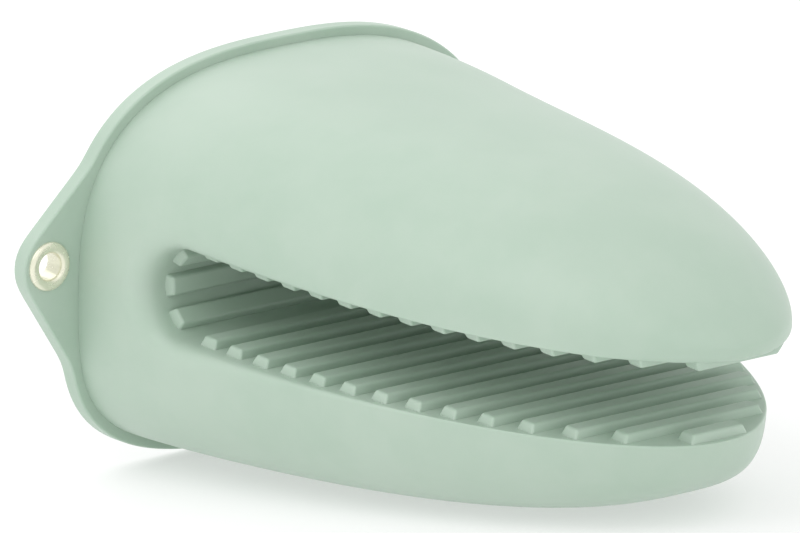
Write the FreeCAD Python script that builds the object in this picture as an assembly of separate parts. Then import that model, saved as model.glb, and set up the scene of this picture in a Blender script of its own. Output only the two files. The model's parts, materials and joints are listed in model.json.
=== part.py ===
import FreeCAD, Part
import math
import os
from FreeCAD import Vector

# Silicone pinch mitt: a hollow moulded body with an open mouth at one end and a wrist opening at
# the other. Four fingers go in the upper jaw, the thumb goes in the lower jaw, and the two ribbed
# grip faces close on what is held.
#
# Millimetres, +Z up. While it is being built, x = 0 is the front face of the cuff flange, y = 0 is
# the body's plane of symmetry, z = 0 is the flange's lowest edge, and +X points at the nose. At the
# end everything tips forward until the belly rests on the same surface as the flange, and moves so
# that the origin is the middle of the overall box, on that surface.

# ---- driving dimensions -------------------------------------------------------------------------

# body
upper_length = 157.5        # flange face to the tip of the upper jaw
lower_length = 148.5        # flange face to the tip of the lower jaw
cuff_half_width = 57.5      # body at the cuff, from the symmetry plane
cuff_top = 87.0             # crown of the body at the cuff
cuff_belly = 2.2            # underside of the body at the cuff
widest_height = 38.6        # height of the body's widest line at the cuff
upper_nose_rise = 2.8975    # the upper tip's widest line above the upper grip face
lower_nose_rise = 6.615     # the lower tip's widest line above the lower grip face
wall = 2.2                  # silicone thickness of the shells
plan_power = 1.75           # how late the outline narrows
crown_power = 2.07          # how late the crown comes down
crown_end_power = 1.3       # how blunt the crown ends
belly_power = 1.38          # how late the belly comes up
belly_end_power = 3.8       # how blunt the belly ends
roof_power_cuff = 2.7       # squareness of the section above the widest line, at the cuff
roof_power_nose = 2.0       # and at the nose
floor_power = 3.3           # squareness of the section below the widest line

# mouth
hinge_x = 30.5              # centre of the rounded back of the mouth
hinge_z = 46.0
mouth_drop = 0.0425         # the mouth's mid-plane falls this much for each millimetre forward
tip_gap = 16.2              # between opposite rib crests
grip_wall = 3.1             # thickness of the grip walls and of the web
flex_angle = 12.0           # degrees of silicone between the cuff and each jaw that does the bending
body_gap = 0.3              # between each jaw and its flex band

# ribs
rib_height = 2.0
rib_base = 5.2
rib_crest = 4.0
rib_end_bevel = 0.9
rib_pitch = 8.35
rib_spacing_from_flex = 0.1 # from where a jaw starts to its rearmost rib
lower_rib_shift = 2.6       # the lower ribs stand this much further forward than the upper ones
shortest_rib = 8.0          # half length under which the nose has no room for another rib
web_rib_count = 3
web_rib_angle = 46.0        # degrees between web ribs
edge_roll_cuff = 9.9        # rib end to the body's outer side, at the cuff
edge_roll_nose = 0.6        # and at the nose
edge_roll_power = 3         # how early it narrows

# cuff flange and tab
flange_thickness = 4.0
flange_ledge = 2.2
flange_edge_round = 1.2
tab_reach = 14.7            # tip of the tab, out from the body's side
tab_tip_z = 48.0
tab_tip_radius = 8.8
tab_upper_drop = 10.0       # below the crown, where the tab's upper side leaves the flange
tab_lower_rise = 7.8        # above the underside, where its lower side does

# hanging eyelet
eyelet_bore = 6.0
eyelet_barrel_wall = 0.6
eyelet_rim_width = 1.8      # past the barrel, all round
eyelet_rim_rise = 0.9
eyelet_from_tip = 6.8       # centre of the bore, in from the tab's tip
eyelet_above_tip = 0.6

# ---- values that follow -------------------------------------------------------------------------

SIDE_POINTS = 9             # points on a quarter of a section
STATIONS = 15               # sections along a jaw
FAR = 400.0                 # reach of cutting bodies, past everything
grip_half = tip_gap / 2 + rib_height
HINGE = Vector(hinge_x, 0, hinge_z)
Y_AXIS = Vector(0, 1, 0)
drop_angle = math.degrees(math.atan(mouth_drop))
upper_nose_height = hinge_z - mouth_drop * (upper_length - hinge_x) + grip_half + upper_nose_rise
lower_nose_height = hinge_z - mouth_drop * (lower_length - hinge_x) - grip_half + lower_nose_rise
upper_first_rib = hinge_x + body_gap + rib_spacing_from_flex + rib_base / 2
lower_first_rib = upper_first_rib + lower_rib_shift
tab_tip_y = cuff_half_width + tab_reach
tab_upper_z = cuff_top - tab_upper_drop
tab_lower_z = cuff_belly + tab_lower_rise
eyelet_barrel = eyelet_bore + 2 * eyelet_barrel_wall
eyelet_rim = eyelet_barrel + 2 * eyelet_rim_width
eyelet_y = tab_tip_y - eyelet_from_tip
eyelet_z = tab_tip_z + eyelet_above_tip


def smooth(t):
    """0 before 0, 1 after 1, and an even S between."""
    t = min(max(t, 0.0), 1.0)
    return t * t * (3 - 2 * t)


def blended(start, end, x, nose):
    """A size that is start as far as the hinge and end at the nose."""
    return start + (end - start) * smooth((x - hinge_x) / (nose - hinge_x))


class Jaw:
    """The whole body's form as one jaw continues it. Both jaws agree behind the hinge."""

    def __init__(self, length, nose_height, inset=0.0):
        self.length = length - inset
        self.full = upper_length - inset
        self.nose_height = nose_height
        self.inset = inset

    def section(self, x):
        """Half width, height of the widest line, crown, underside and roof power at x."""
        length = blended(self.full, self.length, x, self.length)
        share = min(max(x / length, 0.0), 1.0)
        width = (cuff_half_width - self.inset) * math.sqrt(1 - share ** plan_power)
        middle = blended(widest_height, self.nose_height, x, self.length)
        rise = cuff_top - self.inset - widest_height
        fall = widest_height - self.inset - cuff_belly
        crown = middle + rise * (1 - share ** crown_power) ** (1 / crown_end_power)
        belly = middle - fall * (1 - share ** belly_power) ** (1 / belly_end_power)
        power = roof_power_cuff + (roof_power_nose - roof_power_cuff) * share
        return width, middle, crown, belly, power

    def half_width(self, x, z):
        """Half width of the form at a station and height."""
        width, middle, crown, belly, power = self.section(x)
        if z > middle:
            share = (z - middle) / (crown - middle)
        else:
            share, power = (middle - z) / (middle - belly), floor_power
        return width * max(1 - min(share, 1.0) ** power, 0.0) ** (1 / power)

    def wire(self, x, grow=0.0):
        """Closed section curve at x, in the plane across the body."""
        width, middle, crown, belly, roof_power = self.section(x)
        points = []
        for step in range(4 * SIDE_POINTS):
            turn = step * math.pi / (2 * SIDE_POINTS)
            side, up = math.cos(turn), math.sin(turn)
            power = roof_power if up >= 0 else floor_power
            reach = (crown if up >= 0 else belly) - middle
            y = (width + grow) * math.copysign(abs(side) ** (2 / power), side)
            z = middle + (abs(reach) + grow) * math.copysign(abs(up) ** (2 / power), up)
            points.append(Vector(x, y, z))
        curve = Part.BSplineCurve()
        curve.interpolate(Points=points, PeriodicFlag=True)
        return Part.Wire([curve.toShape()])

    def solid(self):
        """The closed form from the cuff to the nose."""
        stations = [self.length * math.sin(i * math.pi / 2 / STATIONS) for i in range(STATIONS)]
        tip = Part.Vertex(Vector(self.length, 0, self.section(self.length)[1]))
        return Part.makeLoft([self.wire(x) for x in stations] + [tip], True, False)


def turned(shape, angle):
    """A copy turned about the hinge; a positive angle brings +Z towards +X."""
    copy = shape.copy()
    copy.rotate(HINGE, Y_AXIS, angle)
    return copy


def half_space(angle, offset=0.0):
    """Everything ahead of the plane through the hinge line that is turned back by angle from
    vertical, moved forward by offset."""
    block = Part.makeBox(FAR, 2 * FAR, 2 * FAR, Vector(hinge_x + offset, -FAR, hinge_z - FAR))
    return turned(block, -angle)


def side_of_mouth(sign):
    """Everything above (sign 1) or below (sign -1) the mouth's mid-plane."""
    bottom = hinge_z if sign > 0 else hinge_z - FAR
    block = Part.makeBox(2 * FAR, 2 * FAR, FAR, Vector(hinge_x - FAR, -FAR, bottom))
    return turned(block, drop_angle)


def slot(half_height):
    """The mouth's open space, or the same grown by the grip wall: round at the back, open ahead."""
    round_end = Part.makeCylinder(half_height, 2 * FAR, Vector(hinge_x, -FAR, hinge_z), Y_AXIS)
    corner = Vector(hinge_x, -FAR, hinge_z - half_height)
    straight = Part.makeBox(FAR, 2 * FAR, 2 * half_height, corner)
    return turned(round_end.fuse(straight).removeSplitter(), drop_angle)


def polygon(points):
    return Part.makePolygon(points + points[:1])


def rib(half_width_at, place, angle=0.0, facing=1):
    """A cross bar with a tapered section and bevelled ends. It is made on the plane z = 0 with its
    crest towards +Z (facing 1) or -Z, centred on x = 0, then turned by angle and put at place."""
    rings = []
    for half_length, height, bevel in ((rib_base / 2, 0.0, 0.0), (rib_crest / 2, rib_height, rib_end_bevel)):
        back = half_width_at(-half_length) - bevel
        front = half_width_at(half_length) - bevel
        z = facing * height
        corners = [(-half_length, -back), (half_length, -front), (half_length, front), (-half_length, back)]
        rings.append(polygon([Vector(x, y, z) for x, y in corners]))
    bar = Part.makeLoft(rings, True, True)
    bar.rotate(Vector(0, 0, 0), Y_AXIS, angle)
    bar.translate(place)
    return bar


# ---- forms --------------------------------------------------------------------------------------

upper_form = Jaw(upper_length, upper_nose_height)
lower_form = Jaw(lower_length, lower_nose_height)
upper_outer = upper_form.solid()
lower_outer = lower_form.solid()
upper_inner = Jaw(upper_length, upper_nose_height, wall).solid()
lower_inner = Jaw(lower_length, lower_nose_height, wall).solid()
mouth = slot(grip_half)
mouth_walls = slot(grip_half + grip_wall).cut(mouth)

nodes = {}


def edge_roll(x):
    """Distance from a rib's end to the body's outer side."""
    share = 1 - x / upper_length
    return edge_roll_nose + (edge_roll_cuff - edge_roll_nose) * share ** edge_roll_power


# ---- cuff ---------------------------------------------------------------------------------------

from_upper_flex = half_space(flex_angle - drop_angle).common(side_of_mouth(1))
from_lower_flex = half_space(-flex_angle - drop_angle).common(side_of_mouth(-1))
ahead_of_cuff = from_upper_flex.fuse(from_lower_flex)


def make_cuff():
    """Wall round the wrist, and the web that closes the back of the mouth."""
    shell = upper_outer.cut(upper_inner).cut(mouth)
    nodes["cuff_wall"] = shell.cut(ahead_of_cuff)
    nodes["mouth_web"] = mouth_walls.common(upper_inner).cut(ahead_of_cuff)


def make_web_ribs():
    """Ribs round the back of the mouth, pointing at the hinge line, their feet curved as the web."""
    for number in range(web_rib_count):
        lean = (number - (web_rib_count - 1) / 2) * web_rib_angle
        back = hinge_x - grip_half * math.cos(math.radians(lean))
        height = hinge_z + grip_half * math.sin(math.radians(lean))
        reach = upper_form.half_width(back, height) - edge_roll(back)
        place = Vector(back, 0, height)
        bar = rib(lambda _x: reach, place, 90 + lean)
        nodes[f"web_rib_{number + 1}"] = bar.common(mouth)


def outline_y(z):
    """Flange outline's distance from the symmetry plane at height z."""
    width, middle, crown, belly, power = upper_form.section(0)
    if z > middle:
        share = (z - middle) / (crown + flange_ledge - middle)
    else:
        share, power = (middle - z) / (middle - belly + flange_ledge), floor_power
    return (width + flange_ledge) * (1 - share ** power) ** (1 / power)


def tangent_point(centre, radius, point, side):
    """Where a line from point touches the circle, on the side asked for (1 above, -1 below)."""
    away = point - centre
    spread = math.acos(radius / away.Length)
    base = math.atan2(away.z, away.y)
    angle = base + side * spread
    return centre + Vector(0, radius * math.cos(angle), radius * math.sin(angle))


def tab_face():
    """The tab's outline, from a chord inside the body round the tip."""
    centre = Vector(0, tab_tip_radius - tab_tip_y, tab_tip_z)
    upper = Vector(0, flange_ledge - outline_y(tab_upper_z), tab_upper_z)
    lower = Vector(0, flange_ledge - outline_y(tab_lower_z), tab_lower_z)
    touch_upper = tangent_point(centre, tab_tip_radius, upper, 1)
    touch_lower = tangent_point(centre, tab_tip_radius, lower, -1)
    tip = centre - Vector(0, tab_tip_radius, 0)
    edges = [
        Part.LineSegment(upper, touch_upper).toShape(),
        Part.Arc(touch_upper, tip, touch_lower).toShape(),
        Part.LineSegment(touch_lower, lower).toShape(),
        Part.LineSegment(lower, upper).toShape(),
    ]
    return Part.Face(Part.Wire(edges))


def rounded_plate(face, keep_square=()):
    """A plate of the flange's thickness behind x = 0 with rounded edges."""
    plate = face.extrude(Vector(-flange_thickness, 0, 0))
    rims = [edge for edge in plate.Edges if edge.BoundBox.XLength < 0.01]
    rims = [edge for edge in rims if not any(edge.BoundBox.isInside(point) for point in keep_square)]
    return plate.makeFillet(flange_edge_round, rims)


def make_flange():
    """Flat rim round the wrist opening with the hanging tab, its outer edges rounded."""
    tab = tab_face()
    chord = tab.Edges[-1].valueAt(tab.Edges[-1].LastParameter / 2)
    behind_chord = chord - Vector(flange_thickness, 0, 0)
    rim = rounded_plate(Part.Face(upper_form.wire(0, flange_ledge)))
    plate = rim.fuse(rounded_plate(tab, (chord, behind_chord)))
    wrist = Part.Face(Jaw(upper_length, upper_nose_height, wall).wire(0))
    plate = plate.cut(wrist.extrude(Vector(-flange_thickness, 0, 0)))
    centre = Vector(-flange_thickness, -eyelet_y, eyelet_z)
    hole = Part.makeCylinder(eyelet_barrel / 2, flange_thickness, centre, Vector(1, 0, 0))
    nodes["cuff_flange"] = plate.cut(hole)


def make_eyelet():
    """Ring with a barrel through the tab and a rounded rim on each face."""
    bore, barrel, rim = eyelet_bore / 2, eyelet_barrel / 2, eyelet_rim / 2
    crest = (bore + rim) / 2
    front, back = eyelet_rim_rise, -flange_thickness - eyelet_rim_rise
    edges = [
        Part.Arc(Vector(0, rim, 0), Vector(front, crest, 0), Vector(0, bore, 0)).toShape(),
        Part.LineSegment(Vector(0, bore, 0), Vector(-flange_thickness, bore, 0)).toShape(),
        Part.Arc(
            Vector(-flange_thickness, bore, 0),
            Vector(back, crest, 0),
            Vector(-flange_thickness, rim, 0),
        ).toShape(),
        Part.LineSegment(
            Vector(-flange_thickness, rim, 0), Vector(-flange_thickness, barrel, 0)
        ).toShape(),
        Part.LineSegment(Vector(-flange_thickness, barrel, 0), Vector(0, barrel, 0)).toShape(),
        Part.LineSegment(Vector(0, barrel, 0), Vector(0, rim, 0)).toShape(),
    ]
    ring = Part.Face(Part.Wire(edges)).revolve(Vector(0, 0, 0), Vector(1, 0, 0), 360)
    ring.translate(Vector(0, -eyelet_y, eyelet_z))
    nodes["hanging_eyelet"] = ring


# ---- jaws ---------------------------------------------------------------------------------------

def rib_reach(form, x, z):
    """Half length of a jaw's rib at a station on the grip face."""
    return form.half_width(x, z) - edge_roll(x)


def on_grip_face(sign, x):
    """The point of a jaw's grip face, in the symmetry plane, that is level with x along the mouth."""
    along = (x - hinge_x) * math.cos(math.radians(drop_angle))
    local = Vector(along, 0, sign * grip_half)
    return HINGE + FreeCAD.Rotation(Y_AXIS, drop_angle).multVec(local)


def rib_places(form, sign, first_rib):
    """Middles of a jaw's ribs, from the back to the last that the nose has room for."""
    places = []
    place = on_grip_face(sign, first_rib)
    while place.x < form.length and rib_reach(form, place.x, place.z) > shortest_rib:
        places.append(place)
        place = on_grip_face(sign, first_rib + len(places) * rib_pitch)
    return places


def make_jaw(name, form, outer, inner, sign, first_rib):
    """Shell, grip wall, ribs and the flex band that joins the jaw to the cuff."""
    half = side_of_mouth(sign)
    shell = outer.cut(inner).cut(mouth).common(half)
    grip = mouth_walls.common(inner).common(half)
    jaw_space = half_space(-drop_angle, body_gap)
    nodes[f"{name}_shell"] = shell.common(jaw_space)
    nodes[f"{name}_grip_wall"] = grip.common(jaw_space)
    wedge = half_space(sign * flex_angle - drop_angle).cut(half_space(-drop_angle))
    nodes[f"{name}_flex_band"] = shell.fuse(grip).common(wedge)
    for number, place in enumerate(rib_places(form, sign, first_rib), 1):

        def reach(step, middle=place):
            return rib_reach(form, middle.x + step, middle.z)

        nodes[f"{name}_rib_{number:02d}"] = rib(reach, place, drop_angle, -sign)


# ---- build --------------------------------------------------------------------------------------

make_flange()
make_eyelet()
make_cuff()
make_web_ribs()
make_jaw("upper", upper_form, upper_outer, upper_inner, 1, upper_first_rib)
make_jaw("lower", lower_form, lower_outer, lower_inner, -1, lower_first_rib)


def resting_angle():
    """Degrees that the mitt tips forward until its belly touches what the flange stands on."""
    low, high = 0.0, 20.0
    stations = [lower_length * i / 200 for i in range(1, 200)]
    bellies = [(x, lower_form.section(x)[3]) for x in stations]
    for _step in range(40):
        angle = (low + high) / 2
        sine, cosine = math.sin(math.radians(angle)), math.cos(math.radians(angle))
        flange = (cuff_belly - flange_ledge) * cosine + flange_edge_round * (cosine + sine - 1)
        belly = min(z * cosine - x * sine for x, z in bellies)
        low, high = (low, angle) if belly < flange else (angle, high)
    return low


rest = resting_angle()
for shape in nodes.values():
    shape.rotate(Vector(0, 0, 0), Y_AXIS, rest)
box = Part.Compound(list(nodes.values())).optimalBoundingBox(False, False)
to_origin = Vector(-box.Center.x, -box.Center.y, -box.ZMin)


def placed(point):
    """Where a point of the building frame ends up."""
    return FreeCAD.Rotation(Y_AXIS, rest).multVec(point) + to_origin


os.makedirs("parts", exist_ok=True)
for name, shape in nodes.items():
    shape.translate(to_origin)
    shape.exportStep(os.path.join("parts", name + ".step"))
    print(f"{name:18s} solids {len(shape.Solids)} valid {shape.isValid()} volume {shape.Volume:9.1f}")
print(f"rest angle {rest:.3f}, mouth slope {rest + drop_angle:.3f}")
print("overall", [round(size, 3) for size in (box.XLength, box.YLength, box.ZLength)])
print("hinge", tuple(placed(HINGE)), "eyelet", tuple(placed(Vector(-flange_thickness / 2, -eyelet_y, eyelet_z))))
print("flange back", tuple(placed(Vector(-flange_thickness, 0, 0))))
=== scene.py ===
import json
import math

import bmesh
import bpy
import numpy as np
from mathutils import Matrix, Vector


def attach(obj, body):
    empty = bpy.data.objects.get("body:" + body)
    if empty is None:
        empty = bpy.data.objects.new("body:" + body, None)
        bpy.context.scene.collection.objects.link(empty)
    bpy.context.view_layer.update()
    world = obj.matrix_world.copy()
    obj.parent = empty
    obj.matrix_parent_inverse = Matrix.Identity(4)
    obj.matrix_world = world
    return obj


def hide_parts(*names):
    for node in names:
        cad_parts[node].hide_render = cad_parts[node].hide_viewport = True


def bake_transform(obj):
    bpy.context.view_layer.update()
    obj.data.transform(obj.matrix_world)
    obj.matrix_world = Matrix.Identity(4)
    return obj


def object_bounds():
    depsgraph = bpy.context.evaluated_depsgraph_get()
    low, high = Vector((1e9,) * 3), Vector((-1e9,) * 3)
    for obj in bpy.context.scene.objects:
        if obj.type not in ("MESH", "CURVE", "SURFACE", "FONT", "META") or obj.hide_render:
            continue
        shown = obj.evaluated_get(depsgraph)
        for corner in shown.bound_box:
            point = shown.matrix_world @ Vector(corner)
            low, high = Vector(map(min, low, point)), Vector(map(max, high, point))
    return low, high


# Looks for the silicone pinch mitt. Metres. The moulding is shaped in the same building frame as
# the model: x = 0 is the front face of the cuff flange, y = 0 the plane of symmetry, z = 0 the
# flange's lowest edge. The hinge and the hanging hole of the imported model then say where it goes.

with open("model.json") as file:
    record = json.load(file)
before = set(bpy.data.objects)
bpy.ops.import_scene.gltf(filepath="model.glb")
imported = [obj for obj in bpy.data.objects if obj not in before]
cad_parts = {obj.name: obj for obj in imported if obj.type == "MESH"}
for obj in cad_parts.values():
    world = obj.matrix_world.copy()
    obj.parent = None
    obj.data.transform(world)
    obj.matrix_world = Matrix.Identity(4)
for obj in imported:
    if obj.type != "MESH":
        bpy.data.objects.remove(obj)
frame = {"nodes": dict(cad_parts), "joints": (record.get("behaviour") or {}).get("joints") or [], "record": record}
cad_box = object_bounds()

# ---- sizes --------------------------------------------------------------------------------------

MM = 0.001

# body
upper_length = 157.5 * MM
lower_length = 148.5 * MM
cuff_half_width = 57.5 * MM
cuff_top = 87.0 * MM
cuff_belly = 2.2 * MM
widest_height = 38.6 * MM
upper_nose_rise = 2.8975 * MM
lower_nose_rise = 6.615 * MM
wall = 2.2 * MM
plan_power = 1.75
crown_power = 2.07
crown_end_power = 1.3
belly_power = 1.38
belly_end_power = 3.8
roof_power_cuff = 2.7
roof_power_nose = 2.0
floor_power = 3.3

# mouth
hinge_x = 30.5 * MM
hinge_z = 46.0 * MM
mouth_drop = 0.0425            # the mouth's mid-plane falls this much for each millimetre forward
tip_gap = 16.2 * MM            # between opposite rib crests
grip_wall = 3.1 * MM
body_gap = 0.3 * MM            # between a jaw and its flex band

# ribs
rib_height = 2.0 * MM
rib_base = 5.2 * MM
rib_crest = 4.0 * MM
rib_end_bevel = 0.9 * MM
rib_pitch = 8.35 * MM
rib_spacing_from_flex = 0.1 * MM
lower_rib_shift = 2.6 * MM
web_rib_angle = math.radians(46)
rib_root = 1.2 * MM            # depth of a rib's foot inside the wall
rib_edge_round = 0.55 * MM
edge_roll_cuff = 9.9 * MM      # rib end to the body's outer side, at the cuff
edge_roll_nose = 0.6 * MM
edge_roll_power = 3

# rolled lip between the outer side and the grip face
roll_inside_rib_end = 0.5 * MM
least_lip = 0.5 * MM
upper_nose_lip = 1.9 * MM
nose_lip_reach = 30.0 * MM     # how far back from the upper tip the fuller lip runs
least_inner_lip = 0.3 * MM
lip_share = 0.8                # most of the room between the grip face and the crown or belly

# cuff flange and tab
flange_thickness = 4.0 * MM
flange_ledge = 2.2 * MM
flange_edge_round = 0.5 * MM
wrist_edge_round = 0.7 * MM
tab_reach = 14.7 * MM
tab_tip_z = 48.0 * MM
tab_tip_radius = 8.8 * MM
tab_upper_drop = 10.0 * MM
tab_lower_rise = 7.8 * MM
body_into_flange = 0.3 * MM    # how far the body's outer skin runs on behind the flange's face
skin_into_flange = 0.8 * MM    # and its inner skin
skin_cover = 0.03 * MM         # the inner skin lies this much over the flange's edge

# hanging eyelet
eyelet_bore = 6.0 * MM
eyelet_barrel_wall = 0.6 * MM
eyelet_rim_width = 1.8 * MM    # past the barrel, all round
eyelet_rim_rise = 0.9 * MM
eyelet_from_tip = 6.8 * MM
eyelet_above_tip = 0.6 * MM

# values that follow
grip_half = tip_gap / 2 + rib_height
upper_first_rib = hinge_x + body_gap + rib_spacing_from_flex + rib_base / 2
lower_first_rib = upper_first_rib + lower_rib_shift
tab_tip_y = cuff_half_width + tab_reach
tab_upper_z = cuff_top - tab_upper_drop
tab_lower_z = cuff_belly + tab_lower_rise
eyelet_barrel = eyelet_bore + 2 * eyelet_barrel_wall
eyelet_rim = eyelet_barrel + 2 * eyelet_rim_width
eyelet_y = tab_tip_y - eyelet_from_tip
eyelet_z = tab_tip_z + eyelet_above_tip

# ---- place of the building frame ----------------------------------------------------------------

record = frame["record"]
hinge_row = np.array(frame["joints"][0]["pos_m"])
hole_axis = next(m for m in record["mounts"] if m["name"] == "hang_hole")["axis"]
tip_angle = math.atan2(hole_axis[2], -hole_axis[0])
drop_angle = math.atan(mouth_drop)
turn = np.array([
    [math.cos(tip_angle), 0, math.sin(tip_angle)],
    [0, 1, 0],
    [-math.sin(tip_angle), 0, math.cos(tip_angle)],
])
hinge_point = np.array([hinge_x, 0, hinge_z])
along_mouth = np.array([math.cos(drop_angle), 0, -math.sin(drop_angle)])
across_mouth = np.array([math.sin(drop_angle), 0, math.cos(drop_angle)])


def to_row(points):
    """Points of the building frame in the row frame."""
    return (np.asarray(points, float) - hinge_point) @ turn.T + hinge_row


def turned(direction):
    """A direction of the building frame in the row frame."""
    return turn @ np.asarray(direction, float)


def placing(x_axis, y_axis, z_axis, origin):
    """The matrix that takes these axes and this origin of the building frame to the row frame."""
    matrix = Matrix(np.stack([turned(x_axis), turned(y_axis), turned(z_axis)], axis=1).tolist()).to_4x4()
    matrix.translation = Vector(to_row(origin))
    return matrix


# ---- the body's form ----------------------------------------------------------------------------

def smooth(t):
    """0 before 0, 1 after 1, and an even S between."""
    t = np.clip(t, 0.0, 1.0)
    return t * t * (3 - 2 * t)


class Form:
    """The body's outer form as one jaw continues it, or the same form inset."""

    def __init__(self, sign, inset=0.0):
        upper = sign > 0
        jaw_length = upper_length if upper else lower_length
        rise = upper_nose_rise if upper else lower_nose_rise
        self.inset = inset
        self.full = upper_length - inset
        self.length = jaw_length - inset
        self.nose_height = hinge_z - mouth_drop * (jaw_length - hinge_x) + sign * grip_half + rise

    def blended(self, start, end, x):
        return start + (end - start) * smooth((x - hinge_x) / (self.length - hinge_x))

    def section(self, x):
        """Half width, height of the widest line, rise and fall from it, and roof power at x."""
        share = np.clip(x / self.blended(self.full, self.length, x), 0.0, 1.0)
        width = (cuff_half_width - self.inset) * np.sqrt(1 - share ** plan_power)
        middle = self.blended(widest_height, self.nose_height, x)
        rise = cuff_top - self.inset - widest_height
        rise = rise * (1 - share ** crown_power) ** (1 / crown_end_power)
        fall = widest_height - self.inset - cuff_belly
        fall = fall * (1 - share ** belly_power) ** (1 / belly_end_power)
        return width, middle, rise, fall, roof_power_cuff + (roof_power_nose - roof_power_cuff) * share

    def share_up(self, x, z):
        """Height above the widest line as a share of what there is, the power there and the width."""
        width, middle, rise, fall, roof_power = self.section(x)
        above = z >= middle
        not_nothing = 1e-9
        reach = np.maximum(np.where(above, rise, fall), not_nothing)
        return np.clip((z - middle) / reach, -1.0, 1.0), np.where(above, roof_power, floor_power), width

    def half_width(self, x, z):
        """Half width of the form at a station and height."""
        share, power, width = self.share_up(x, z)
        return width * (1 - np.abs(share) ** power) ** (1 / power)

    def angle(self, x, z):
        """Polar angle, round the section, of the side at height z."""
        share, power, _width = self.share_up(x, z)
        return np.arctan2(share, (1 - np.abs(share) ** power) ** (1 / power))

    def point(self, x, angle):
        """Point of the form on the -Y side at a station and polar angle."""
        width, middle, rise, fall, roof_power = self.section(x)
        side = np.abs(np.cos(angle))
        up = np.sin(angle)
        power = np.where(up >= 0, roof_power, floor_power)
        reach = (side ** power + np.abs(up) ** power) ** (-1 / power)
        y = -width * reach * side
        z = middle + np.where(up >= 0, rise, fall) * reach * up
        return np.stack(np.broadcast_arrays(x, y, z), axis=-1)


class Slot:
    """The mouth's wall in side view: an arc at the back, then straight along each jaw. s is the
    distance along the wall from the back of the mouth, and is positive on the upper jaw."""

    def __init__(self, radius):
        self.radius = radius
        self.quarter = radius * math.pi / 2
        self.ahead = along_mouth[[0, 2]]
        self.up = across_mouth[[0, 2]]

    def place(self, s):
        """x, z and the direction out of the mouth into the wall, at s."""
        s = np.asarray(s, float)
        lean = np.clip(s, -self.quarter, self.quarter) / self.radius
        out = -np.cos(lean)[..., None] * self.ahead + np.sin(lean)[..., None] * self.up
        straight = np.maximum(np.abs(s) - self.quarter, 0.0)
        spot = np.array([hinge_x, hinge_z]) + self.radius * out + straight[..., None] * self.ahead
        return spot[..., 0], spot[..., 1], out


# ---- skin of the moulding -----------------------------------------------------------------------

CUFF_STATIONS = 38      # lines that run from the back of the mouth to the cuff's edge
CROWN_STATIONS = 22     # lines that fan forward along the crown or the belly
JAW_STATIONS = 84       # lines across the rest of the jaw
SIDE_STEPS = 44         # from the lip to the crown or the cuff
LIP_STEPS = 10
FACE_STEPS = 8          # from the lip to the middle of the grip face
HALVINGS = 60           # steps in a search by halving
WELD_GRAIN = 0.002 * MM  # points that round to the same grain are one
corner_lean = math.radians(53)  # round the back of the mouth, where the fan of lines begins
fan_reach = 30.0 * MM           # and how far along the jaw it ends


def edge_roll(x):
    """Distance from a rib's end to the body's outer side."""
    share = 1 - x / upper_length
    return edge_roll_nose + (edge_roll_cuff - edge_roll_nose) * share ** edge_roll_power


def lip_size(x, sign, inset):
    """Size of the rolled lip between the outer side and the grip face."""
    lip = np.maximum(edge_roll(x) - roll_inside_rib_end, least_lip)
    if sign > 0:
        lip = np.maximum(lip, upper_nose_lip * smooth(1 - (upper_length - x) / nose_lip_reach))
    return np.maximum(lip - inset, least_inner_lip)


def last_station(form, slot, sign):
    """s where the grip face runs out at the nose."""
    low, high = slot.quarter, upper_length * 2
    for _step in range(HALVINGS):
        s = (low + high) / 2
        x, z, _out = slot.place(sign * s)
        _width, middle, rise, fall, _power = form.section(x)
        room = middle + rise - z if sign > 0 else z - middle + fall
        low, high = (s, high) if x < form.length and room > 0 else (low, s)
    return low


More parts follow.
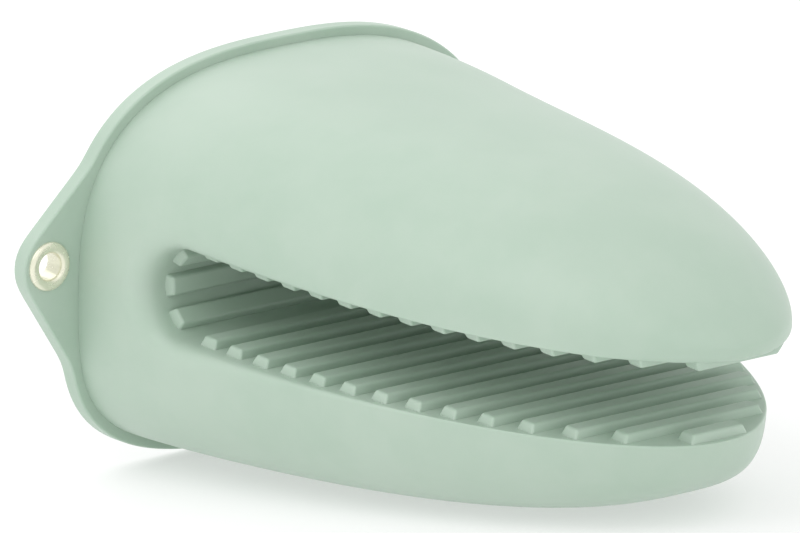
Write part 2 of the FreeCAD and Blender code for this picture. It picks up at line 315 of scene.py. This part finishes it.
def jaw_grid(sign, radius, inset, cuff_x):
    """Rows of points from the back of the mouth to the nose. Each row goes from the crown, belly or
    cuff down the -Y side, round the lip and over the grip face to the symmetry plane."""
    form = Form(sign, inset)
    slot = Slot(radius)
    end = last_station(form, slot, sign)
    corner = corner_lean * radius
    fan = slot.quarter + fan_reach
    jaw_share = np.sin(np.linspace(0, math.pi / 2, JAW_STATIONS + 1))
    s = np.concatenate([
        np.linspace(0, corner, CUFF_STATIONS, endpoint=False),
        np.linspace(corner, fan, CROWN_STATIONS, endpoint=False),
        fan + (end - fan) * jaw_share,
    ])
    x, z, out = slot.place(sign * s)
    _width, middle, rise, fall, _power = form.section(x)
    room = middle + rise - z if sign > 0 else z - middle + fall
    lip = np.minimum(lip_size(x, sign, inset), lip_share * np.maximum(room, 0.0))

    # where the lip leaves the outer side, the corner it rounds, and where it meets the grip face
    top_x = np.minimum(x + lip * out[:, 0], form.length)
    top_z = z + lip * out[:, 1]
    top_angle = form.angle(top_x, top_z)
    half = form.half_width(x, z)
    shift = 0.01 * MM
    slope = np.zeros(len(s))
    for way in (-1, 1):
        near_x, near_z, _out = slot.place(sign * (s + way * shift))
        slope += way * form.half_width(near_x, near_z) / (2 * shift)
    slant = np.sqrt(1 + slope ** 2)
    face_s = s + lip * slope / slant
    face_y = np.maximum(half - lip / slant, 0.0)
    face_x, face_z, _out = slot.place(sign * face_s)

    # where each row ends: round the cuff's edge, then along the crown or the belly
    split_angle = form.angle(0.0, hinge_z + mouth_drop * hinge_x)
    edge_angle = sign * math.pi / 2
    end_angle = np.full(len(s), edge_angle)
    end_angle[:CUFF_STATIONS] = np.linspace(split_angle, edge_angle, CUFF_STATIONS, endpoint=False)
    end_x = top_x.copy()
    end_x[:CUFF_STATIONS] = cuff_x
    fan_end = CUFF_STATIONS + CROWN_STATIONS
    end_x[CUFF_STATIONS:fan_end] = np.linspace(cuff_x, top_x[fan_end], CROWN_STATIONS, endpoint=False)

    columns = []
    for step in range(SIDE_STEPS):
        t = step / SIDE_STEPS
        row_x = end_x + (top_x - end_x) * t
        columns.append(form.point(row_x, end_angle + (top_angle - end_angle) * t))
    lip_top = form.point(top_x, top_angle)
    lip_corner = np.stack([x, -half, z], axis=-1)
    lip_face = np.stack([face_x, -face_y, face_z], axis=-1)
    for step in range(LIP_STEPS):
        t = step / LIP_STEPS
        columns.append((1 - t) ** 2 * lip_top + 2 * t * (1 - t) * lip_corner + t * t * lip_face)
    for step in range(FACE_STEPS + 1):
        columns.append(lip_face * [1, 1 - step / FACE_STEPS, 1])
    near = np.stack(columns, axis=1)
    far = near[:, -2::-1] * [1, -1, 1]
    return np.concatenate([near, far], axis=1)


def skin_grid(radius, inset, cuff_x):
    """Both jaws' rows as one grid, from the upper nose round the back of the mouth to the lower. The
    columns run from the +Y side to the -Y side, so that the quads face out."""
    upper = jaw_grid(1, radius, inset, cuff_x)
    lower = jaw_grid(-1, radius, inset, cuff_x)
    return np.concatenate([upper[::-1], lower[1:]], axis=0)[:, ::-1]


def quads(rows, columns, first=0):
    """Corner indices of a grid's quads."""
    index = first + np.arange(rows * columns).reshape(rows, columns)
    parts = [index[:-1, :-1], index[:-1, 1:], index[1:, 1:], index[1:, :-1]]
    return np.stack([part.ravel() for part in parts], axis=1)


def strip(a, b):
    """Quads between two lists of indices."""
    return np.stack([a[:-1], a[1:], b[1:], b[:-1]], axis=1)


def welded(points, faces):
    """Merges points that lie together and drops faces that lose their area. Gives the points kept,
    the faces kept, where each corner of those comes from, and which point each old point became."""
    grains = np.round(points / WELD_GRAIN).astype(np.int64)
    _keys, first, index = np.unique(grains, axis=0, return_index=True, return_inverse=True)
    index = index.ravel()
    clean = []
    corners = []
    for number, face in enumerate(faces):
        ring = []
        for place, corner in enumerate(index[face]):
            if corner not in [r[0] for r in ring]:
                ring.append((int(corner), place))
        if len(ring) > 2:
            clean.append([r[0] for r in ring])
            corners.append([(number, r[1]) for r in ring])
    return points[first], clean, corners, index


def grid_normals(grid):
    """Smooth normals of a skin grid, from a welded copy of its mesh."""
    points = grid.reshape(-1, 3)
    faces = quads(grid.shape[0], grid.shape[1])
    kept, clean, _corners, index = welded(points, faces)
    mesh = bpy.data.meshes.new("normals")
    mesh.from_pydata(kept.tolist(), [], clean)
    normals = np.zeros(len(kept) * 3, np.float32)
    mesh.vertex_normals.foreach_get("vector", normals)
    bpy.data.meshes.remove(mesh)
    return normals.reshape(-1, 3)[index].reshape(grid.shape)


def new_object(name, mesh, material):
    piece = bpy.data.objects.new(name, mesh)
    mesh.materials.append(material)
    bpy.context.scene.collection.objects.link(piece)
    return piece


def moulding_half(name, outer, inner, outer_normals, inner_normals, cuff_rows, material):
    """One jaw with its half of the cuff as a closed shell. Row 0 is the split at the back of the
    mouth, and the first cuff_rows rows end on the cuff's edge."""
    rows, columns, _axes = outer.shape
    count = rows * columns
    points = np.concatenate([outer.reshape(-1, 3), inner.reshape(-1, 3)])
    normals = np.concatenate([outer_normals.reshape(-1, 3), inner_normals.reshape(-1, 3)])
    outside = np.arange(count).reshape(rows, columns)
    inside = outside + count
    skins = [quads(rows, columns), quads(rows, columns, count)[:, ::-1]]
    rims = [
        strip(outside[0][::-1], inside[0][::-1]),
        strip(outside[: cuff_rows + 1, 0], inside[: cuff_rows + 1, 0]),
        strip(outside[: cuff_rows + 1, -1][::-1], inside[: cuff_rows + 1, -1][::-1]),
    ]
    faces = np.concatenate(skins + rims)
    smooth_faces = len(skins[0]) + len(skins[1])
    kept, clean, corners, _index = welded(points, faces)
    mesh = bpy.data.meshes.new(name)
    mesh.from_pydata(to_row(kept).tolist(), [], clean)
    mesh.update()
    mesh.shade_smooth()
    row_normals = normals @ turn.T
    loops = []
    for polygon, places in zip(mesh.polygons, corners):
        for number, place in places:
            if number < smooth_faces:
                loops.append(row_normals[faces[number][place]].tolist())
            else:
                loops.append(list(polygon.normal))
    mesh.normals_split_custom_set(loops)
    return new_object(name, mesh, material)


def make_moulding(material):
    """The moulded body in two closed halves that meet at the back of the mouth."""
    outer = skin_grid(grip_half, 0.0, -body_into_flange)
    inner = skin_grid(grip_half + grip_wall, wall + skin_cover, -skin_into_flange)
    grids = (outer, inner, grid_normals(outer), -grid_normals(inner))
    split = CUFF_STATIONS + CROWN_STATIONS + JAW_STATIONS
    upper = [grid[split::-1, ::-1] for grid in grids]
    lower = [grid[split:] for grid in grids]
    return [
        moulding_half("upper_moulding", *upper, CUFF_STATIONS, material),
        moulding_half("lower_moulding", *lower, CUFF_STATIONS, material),
    ]


# ---- ribs ---------------------------------------------------------------------------------------

def rib_mesh(name, reach):
    """A cross bar with tapered sides, bevelled ends and rounded edges, as long as reach each way. Its
    crest points at +Z."""
    levels = (
        (rib_base / 2, -rib_root, 0.0),
        (rib_base / 2, 0.0, 0.0),
        (rib_crest / 2, rib_height, rib_end_bevel),
    )
    bm = bmesh.new()
    rings = []
    for half, height, bevel in levels:
        end = reach - bevel
        corners = [(-half, -end), (half, -end), (half, end), (-half, end)]
        rings.append([bm.verts.new((x, y, height)) for x, y in corners])
    for low, high in zip(rings, rings[1:]):
        for i in range(4):
            bm.faces.new((low[i], low[(i + 1) % 4], high[(i + 1) % 4], high[i]))
    bm.faces.new(rings[0][::-1])
    bm.faces.new(rings[-1])
    shown = [e for e in bm.edges if max(v.co.z for v in e.verts) > rib_height / 2]
    bmesh.ops.bevel(bm, geom=shown, offset=rib_edge_round, segments=3, profile=0.5, affect="EDGES")
    bmesh.ops.recalc_face_normals(bm, faces=bm.faces)
    mesh = bpy.data.meshes.new(name)
    bm.to_mesh(mesh)
    bm.free()
    return mesh


def place_rib(name, reach, spot, crest, ahead, material):
    """A rib whose foot is centred on spot, with its crest and its front along the given ways."""
    mesh = rib_mesh(name, reach)
    mesh.transform(placing(ahead, np.cross(crest, ahead), crest, spot))
    mesh.shade_smooth()
    piece = new_object(name, mesh, material)
    soften = piece.modifiers.new("even_shading", "WEIGHTED_NORMAL")
    soften.keep_sharp = True
    return piece


def make_jaw_ribs(jaw, sign, first, material):
    """The ribs of one grip face, which stand for the model's ribs of the same numbers."""
    form = Form(sign)
    crest = -sign * across_mouth
    names = sorted(node for node in frame["nodes"] if node.startswith(jaw + "_rib_"))
    for number, node in enumerate(names):
        along = (first + number * rib_pitch - hinge_x) * math.cos(drop_angle)
        spot = hinge_point + along * along_mouth - crest * grip_half
        front = spot[0] + rib_base / 2
        reach = float(form.half_width(front, spot[2]) - edge_roll(front))
        piece = place_rib(f"moulded_{node}", reach, spot, crest, along_mouth, material)
        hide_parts(node)
        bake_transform(piece)


def make_web_ribs(material):
    """The ribs round the back of the mouth, which point at the hinge line."""
    form = Form(1)
    names = sorted(node for node in frame["nodes"] if node.startswith("web_rib_"))
    for number, node in enumerate(names):
        lean = (number - (len(names) - 1) / 2) * web_rib_angle
        crest = np.array([math.cos(lean), 0, -math.sin(lean)])
        ahead = np.array([math.sin(lean), 0, math.cos(lean)])
        spot = hinge_point - crest * grip_half
        reach = float(form.half_width(spot[0], spot[2]) - edge_roll(spot[0]))
        piece = place_rib(f"moulded_{node}", reach, spot, crest, ahead, material)
        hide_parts(node)
        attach(piece, "cuff")


# ---- flange and eyelet --------------------------------------------------------------------------

OUTLINE_POINTS = 520
TIP_POINTS = 40
WRIST_POINTS = 320
HOLE_POINTS = 72
EDGE_STEPS = 7
EASING_PASSES = 14      # each takes every outline point half way to the middle of its neighbours
RIM_STEPS = 14          # round each rim of the eyelet
RING_SEGMENTS = 96


def section_loop(inset, count):
    """The cuff's section, grown by a negative inset, as (y, z) points all the way round."""
    angles = np.arange(count) * 2 * math.pi / count
    side, up = np.cos(angles), np.sin(angles)
    power = np.where(up >= 0, roof_power_cuff, floor_power)
    reach = (np.abs(side) ** power + np.abs(up) ** power) ** (-1 / power)
    width = cuff_half_width - inset
    height = np.where(up >= 0, cuff_top - inset - widest_height, widest_height - inset - cuff_belly)
    return np.stack([width * reach * side, widest_height + height * reach * up], axis=1)


def inside_rim(point):
    """True for a (y, z) point inside the flange's rim."""
    y, z = point[0], point[1] - widest_height
    if z >= 0:
        height, power = cuff_top + flange_ledge - widest_height, roof_power_cuff
    else:
        height, power = widest_height + flange_ledge - cuff_belly, floor_power
    return abs(y / (cuff_half_width + flange_ledge)) ** power + abs(z / height) ** power < 1


def tab_side(centre, start, side):
    """Where a tab's side comes out of the rim, and where on the tip's circle it ends, as an angle."""
    away = start - centre
    spread = math.acos(tab_tip_radius / np.linalg.norm(away))
    angle = math.atan2(away[1], away[0]) + side * spread
    touch = centre + tab_tip_radius * np.array([math.cos(angle), math.sin(angle)])
    low, high = 0.0, 1.0
    for _step in range(HALVINGS):
        t = (low + high) / 2
        low, high = (t, high) if inside_rim(start + (touch - start) * t) else (low, t)
    return start + (touch - start) * low, angle


def evenly(loop, count):
    """A closed line's points again, evenly spaced."""
    closed = np.vstack([loop, loop[:1]])
    distance = np.concatenate([[0], np.cumsum(np.linalg.norm(np.diff(closed, axis=0), axis=1))])
    places = np.arange(count) * distance[-1] / count
    return np.stack([np.interp(places, distance, closed[:, axis]) for axis in (0, 1)], axis=1)


def flange_outline():
    """The rim with its hanging tab on the -Y side, the corners between them eased."""
    rim = section_loop(-flange_ledge, OUTLINE_POINTS * 2)
    centre = np.array([tab_tip_radius - tab_tip_y, tab_tip_z])

    def leave(z):
        near = rim[rim[:, 0] < 0]
        return np.array([near[np.argmin(np.abs(near[:, 1] - z)), 0] + flange_ledge, z])

    upper_out, upper_angle = tab_side(centre, leave(tab_upper_z), 1)
    lower_out, lower_angle = tab_side(centre, leave(tab_lower_z), -1)
    turn_by = (lower_angle - upper_angle) % (2 * math.pi)
    angles = upper_angle + turn_by * np.linspace(0, 1, TIP_POINTS)
    tip = centre + tab_tip_radius * np.stack([np.cos(angles), np.sin(angles)], axis=1)
    kept = [p for p in rim if p[0] > 0 or p[1] > upper_out[1] or p[1] < lower_out[1]]
    start = next(i for i, p in enumerate(kept) if p[0] < 0 and p[1] < lower_out[1])
    loop = evenly(np.vstack([kept[:start], upper_out, tip, lower_out, kept[start:]]), OUTLINE_POINTS)
    for _pass in range(EASING_PASSES):
        loop = (loop + (np.roll(loop, 1, axis=0) + np.roll(loop, -1, axis=0)) / 2) / 2
    return loop


def loop_normals(loop):
    """Outward normals of an anticlockwise (y, z) loop."""
    along = np.roll(loop, -1, axis=0) - np.roll(loop, 1, axis=0)
    out = np.stack([along[:, 1], -along[:, 0]], axis=1)
    return out / np.linalg.norm(out, axis=1)[:, None]


def edge_profile(radius):
    """A quarter round from a flat face over an edge, as rows of (inset from the edge, depth from the
    face, the normal's share away from the piece, the normal's share out of the face)."""
    angles = np.linspace(0, math.pi / 2, EDGE_STEPS)
    shares = [(math.sin(angle), math.cos(angle)) for angle in angles]
    return [(radius * (1 - away), radius * (1 - front), away, front) for away, front in shares]


def flange_walls():
    """The loops round the flange with what their walls look like from the front face to the back:
    rows of (offset along the loop's normal, x, the normal's shares along those)."""
    back = -flange_thickness
    around = np.arange(HOLE_POINTS) * 2 * math.pi / HOLE_POINTS
    ring = np.stack([np.cos(around), np.sin(around)], axis=1) * eyelet_barrel / 2
    outer = edge_profile(flange_edge_round)
    outer_wall = [(-inset, -depth, away, front) for inset, depth, away, front in outer]
    outer_wall += [(-inset, back + depth, away, -front) for inset, depth, away, front in outer[::-1]]
    wrist = edge_profile(wrist_edge_round)[::-1]
    wrist_wall = [(0.0, 0.0, -1.0, 0.0)]
    wrist_wall += [(inset, back + depth, -away, -front) for inset, depth, away, front in wrist]
    hole_wall = [(0.0, 0.0, -1.0, 0.0), (0.0, back, -1.0, 0.0)]
    return (
        (flange_outline(), outer_wall),
        (section_loop(wall, WRIST_POINTS), wrist_wall),
        (ring + [-eyelet_y, eyelet_z], hole_wall),
    )


def add_wall(bm, loop, profile):
    """Adds one wall of the flange. Gives the normals of its points and its front and back edges."""
    out = loop_normals(loop)
    normals = []
    rings = []
    for offset, x, along, front in profile:
        rings.append([bm.verts.new((x, y, z)) for y, z in loop + offset * out])
        normals += [(front, along * y, along * z) for y, z in out]
    for front_ring, back_ring in zip(rings, rings[1:]):
        for i in range(len(loop)):
            bm.faces.new((front_ring[i - 1], back_ring[i - 1], back_ring[i], front_ring[i]))
    front_edges, back_edges = (
        [bm.edges.get((ring[i - 1], ring[i])) for i in range(len(loop))]
        for ring in (rings[0], rings[-1])
    )
    return normals, front_edges, back_edges


def make_flange(material):
    """Flat rim round the wrist with its tab: rounded outer edge, softened wrist edge, eyelet hole."""
    bm = bmesh.new()
    normals, fronts, backs = [], [], []
    for loop, profile in flange_walls():
        wall_normals, front_edges, back_edges = add_wall(bm, loop, profile)
        normals += wall_normals
        fronts += front_edges
        backs += back_edges
    bmesh.ops.triangle_fill(bm, edges=fronts, use_beauty=True, normal=(1, 0, 0))
    bmesh.ops.triangle_fill(bm, edges=backs, use_beauty=True, normal=(-1, 0, 0))
    bmesh.ops.recalc_face_normals(bm, faces=bm.faces)
    mesh = bpy.data.meshes.new("moulded_flange")
    bm.to_mesh(mesh)
    bm.free()
    mesh.shade_smooth()
    flat = 0.999
    loops = []
    for polygon in mesh.polygons:
        facing = polygon.normal.x
        for corner in polygon.vertices:
            normal = (math.copysign(1, facing), 0, 0) if abs(facing) > flat else normals[corner]
            loops.append(turned(normal).tolist())
    points = to_row([v.co for v in mesh.vertices])
    mesh.vertices.foreach_set("co", points.astype(np.float32).ravel())
    mesh.update()
    mesh.normals_split_custom_set(loops)
    piece = new_object("moulded_flange", mesh, material)
    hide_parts("cuff_flange")
    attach(piece, "cuff")


def make_eyelet(material):
    """The ring pressed into the tab: a full front rim, a flatter rolled back rim and a barrel."""
    bore, barrel, rim = eyelet_bore / 2, eyelet_barrel / 2, eyelet_rim / 2
    crest = (bore + rim) / 2
    half = (rim - bore) / 2
    front_fullness, back_fullness = 0.8, 0.6
    sharp_angle = math.radians(50)
    angles = [math.pi * step / RIM_STEPS for step in range(RIM_STEPS + 1)]
    profile = []
    for angle in angles:
        rise = eyelet_rim_rise * math.sin(angle) ** front_fullness
        profile.append((rise, crest + half * math.cos(angle)))
    for angle in angles:
        rise = eyelet_rim_rise * math.sin(angle) ** back_fullness
        profile.append((-flange_thickness - rise, crest - half * math.cos(angle)))
    profile += [(-flange_thickness, barrel), (0.0, barrel)]
    points = []
    for x, radius in profile:
        for step in range(RING_SEGMENTS):
            angle = 2 * math.pi * step / RING_SEGMENTS
            points.append((x, radius * math.cos(angle) - eyelet_y, radius * math.sin(angle) + eyelet_z))
    index = np.arange(len(points)).reshape(len(profile), RING_SEGMENTS)
    after = np.roll(index, -1, axis=0)
    corners = [index, np.roll(index, -1, axis=1), np.roll(after, -1, axis=1), after]
    faces = np.stack([corner.ravel() for corner in corners], axis=1).tolist()
    mesh = bpy.data.meshes.new("eyelet_ring")
    mesh.from_pydata(to_row(points).tolist(), [], faces)
    bm = bmesh.new()
    bm.from_mesh(mesh)
    bmesh.ops.recalc_face_normals(bm, faces=bm.faces)
    bm.to_mesh(mesh)
    bm.free()
    mesh.shade_smooth()
    mesh.set_sharp_from_angle(angle=sharp_angle)
    piece = new_object("eyelet_ring", mesh, material)
    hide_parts("hanging_eyelet")
    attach(piece, "cuff")


# ---- materials ----------------------------------------------------------------------------------

class Nodes:
    """A short way to add and join a material's nodes."""

    def __init__(self, name):
        self.material = bpy.data.materials.new(name)
        self.material.use_nodes = True
        self.tree = self.material.node_tree
        self.shader = self.tree.nodes["Principled BSDF"]

    def add(self, kind, inputs=None, **settings):
        """A new node with its inputs set or joined and its settings."""
        node = self.tree.nodes.new(kind)
        for key, value in settings.items():
            setattr(node, key, value)
        for key, value in (inputs or {}).items():
            self.set(node.inputs[key], value)
        return node

    def set(self, socket, value):
        """Joins another node's socket, or sets a plain value."""
        if isinstance(value, bpy.types.NodeSocket):
            self.tree.links.new(value, socket)
        else:
            socket.default_value = value

    def noise(self, scale, detail, rough):
        """Noise in the object's own space."""
        place = self.add("ShaderNodeTexCoord").outputs["Object"]
        inputs = {"Vector": place, "Scale": scale, "Detail": detail, "Roughness": rough}
        return self.add("ShaderNodeTexNoise", inputs).outputs["Fac"]

    def ramp(self, fac, low, high, start, end):
        """Colour low up to start, colour high from end, and between them a blend."""
        node = self.add("ShaderNodeValToRGB", {"Fac": fac})
        node.color_ramp.elements[0].position = start
        node.color_ramp.elements[0].color = low
        node.color_ramp.elements[1].position = end
        node.color_ramp.elements[1].color = high
        return node.outputs["Color"]

    def span(self, noise, low, high):
        """A number from low to high as the noise goes through its usual range."""
        inputs = {"Value": noise, "From Min": 0.3, "From Max": 0.7, "To Min": low, "To Max": high}
        return self.add("ShaderNodeMapRange", inputs).outputs["Result"]

    def mix(self, fac, a, b):
        """Two colours blended by fac."""
        node = self.add("ShaderNodeMix", data_type="RGBA", blend_type="MIX")
        self.set(node.inputs["Factor"], fac)
        self.set(node.inputs["A"], a)
        self.set(node.inputs["B"], b)
        return node.outputs["Result"]

    def bump(self, layers):
        """Bump nodes in a chain, one for each (height, strength, distance)."""
        normal = None
        for height, strength, distance in layers:
            inputs = {"Height": height, "Strength": strength, "Distance": distance}
            node = self.add("ShaderNodeBump", inputs)
            if normal is not None:
                self.set(node.inputs["Normal"], normal)
            normal = node.outputs["Normal"]
        return normal


def silicone():
    """Mint silicone: a satin skin with faint flow marks, dusty clouds and a fine grain."""
    n = Nodes("mint_silicone")
    flow = n.noise(16.0, 3.0, 0.55)
    cloud = n.noise(70.0, 4.0, 0.6)
    grain = n.noise(2600.0, 2.0, 0.6)
    base = n.ramp(flow, (0.380, 0.505, 0.405, 1), (0.425, 0.540, 0.445, 1), 0.36, 0.64)
    dusty = n.ramp(cloud, (0.395, 0.513, 0.420, 1), (0.440, 0.547, 0.460, 1), 0.40, 0.62)
    dust_share = 0.4
    n.set(n.shader.inputs["Base Color"], n.mix(dust_share, base, dusty))
    n.set(n.shader.inputs["Roughness"], n.span(cloud, 0.42, 0.50))
    n.set(n.shader.inputs["Normal"], n.bump([(grain, 0.18, 0.00010), (flow, 0.05, 0.0015)]))
    n.set(n.shader.inputs["IOR"], 1.42)
    n.set(n.shader.inputs["Specular IOR Level"], 0.9)
    n.set(n.shader.inputs["Subsurface Weight"], 0.18)
    n.set(n.shader.inputs["Subsurface Radius"], (1.0, 1.3, 1.0))
    n.set(n.shader.inputs["Subsurface Scale"], 0.0012)
    n.set(n.shader.inputs["Sheen Weight"], 0.12)
    n.set(n.shader.inputs["Sheen Roughness"], 0.5)
    return n.material


def champagne():
    """Pale champagne metal, polished, with a very fine grain and a little dulling."""
    n = Nodes("champagne_ring")
    worn = n.noise(320.0, 3.0, 0.5)
    fine = n.noise(5200.0, 2.0, 0.5)
    colour = n.ramp(worn, (0.80, 0.80, 0.64, 1), (0.84, 0.83, 0.68, 1), 0.35, 0.65)
    n.set(n.shader.inputs["Base Color"], colour)
    n.set(n.shader.inputs["Metallic"], 0.6)
    n.set(n.shader.inputs["Roughness"], n.span(worn, 0.22, 0.30))
    n.set(n.shader.inputs["Normal"], n.bump([(fine, 0.02, 0.00002)]))
    return n.material


def studio_floor():
    """A white table lit from below, so that shadows on it stay pale."""
    n = Nodes("studio_floor")
    patch = n.noise(3.0, 2.0, 0.5)
    colour = n.ramp(patch, (0.540, 0.542, 0.540, 1), (0.560, 0.560, 0.560, 1), 0.3, 0.7)
    n.set(n.shader.inputs["Base Color"], colour)
    n.set(n.shader.inputs["Roughness"], 0.85)
    n.set(n.shader.inputs["Specular IOR Level"], 0.15)
    n.set(n.shader.inputs["Emission Color"], (1.0, 1.0, 1.0, 1))
    n.set(n.shader.inputs["Emission Strength"], 0.45)
    return n.material


# ---- studio -------------------------------------------------------------------------------------

def make_floor():
    """A wide table, a hair below what stands on it."""
    half_size = 3.0
    clearance = 0.2 * MM
    mesh = bpy.data.meshes.new("floor")
    corners = [(half_size * x, half_size * y, 0) for x, y in ((-1, -1), (1, -1), (1, 1), (-1, 1))]
    mesh.from_pydata(corners, [], [(0, 1, 2, 3)])
    floor = new_object("floor", mesh, studio_floor())
    floor.location.z = -clearance


def soft_light(name, position, power):
    """A square soft box that faces the mitt."""
    light = bpy.data.lights.new(name, "AREA")
    light.shape = "SQUARE"
    light.size = 0.9
    light.energy = power
    lamp = bpy.data.objects.new(name, light)
    bpy.context.scene.collection.objects.link(lamp)
    lamp.location = position
    middle = (cad_box[0] + cad_box[1]) / 2
    lamp.rotation_euler = (Vector(position) - middle).to_track_quat("Z", "Y").to_euler()


def make_lights():
    """Three soft boxes in a white room."""
    soft_light("key", (-0.15, -0.75, 1.0), 2.8)
    soft_light("front", (1.15, -0.35, 0.75), 1.1)
    soft_light("back", (-0.95, 0.1, 0.85), 2.2)
    world = bpy.data.worlds.new("studio")
    world.use_nodes = True
    background = world.node_tree.nodes["Background"]
    background.inputs["Color"].default_value = (1.0, 1.0, 1.0, 1)
    background.inputs["Strength"].default_value = 1.0
    bpy.context.scene.world = world


def make_camera():
    """A long lens, at the height and side from which the mitt shows its mouth and its tab."""
    azimuth, elevation = math.radians(51), math.radians(15.5)
    target = np.array([39.1, 0.0, 45.6]) * MM
    shown_width = 172.488 * MM      # across the view at the target
    data = bpy.data.cameras.new("camera")
    data.sensor_width = 36.0
    data.lens = 800.0
    distance = shown_width * data.lens / data.sensor_width
    right = np.array([math.cos(azimuth), math.sin(azimuth), 0])
    back = np.array([
        math.sin(azimuth) * math.cos(elevation),
        -math.cos(azimuth) * math.cos(elevation),
        math.sin(elevation),
    ])
    up = np.cross(back, right)
    camera = bpy.data.objects.new("camera", data)
    bpy.context.scene.collection.objects.link(camera)
    camera.matrix_world = placing(right, up, back, target + back * distance)
    data.clip_start = 0.1
    data.clip_end = 20.0
    bpy.context.scene.camera = camera


# ---- make it all --------------------------------------------------------------------------------

make_camera()
mint = silicone()
upper_piece, lower_piece = make_moulding(mint)
for piece, jaw in ((upper_piece, "upper"), (lower_piece, "lower")):
    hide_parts(f"{jaw}_shell", f"{jaw}_grip_wall", f"{jaw}_flex_band", "cuff_wall", "mouth_web")
    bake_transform(piece)
make_jaw_ribs("upper", 1, upper_first_rib, mint)
make_jaw_ribs("lower", -1, lower_first_rib, mint)
make_web_ribs(mint)
make_flange(mint)
make_eyelet(champagne())
make_floor()
make_lights()
bpy.context.scene.view_settings.view_transform = "Standard"
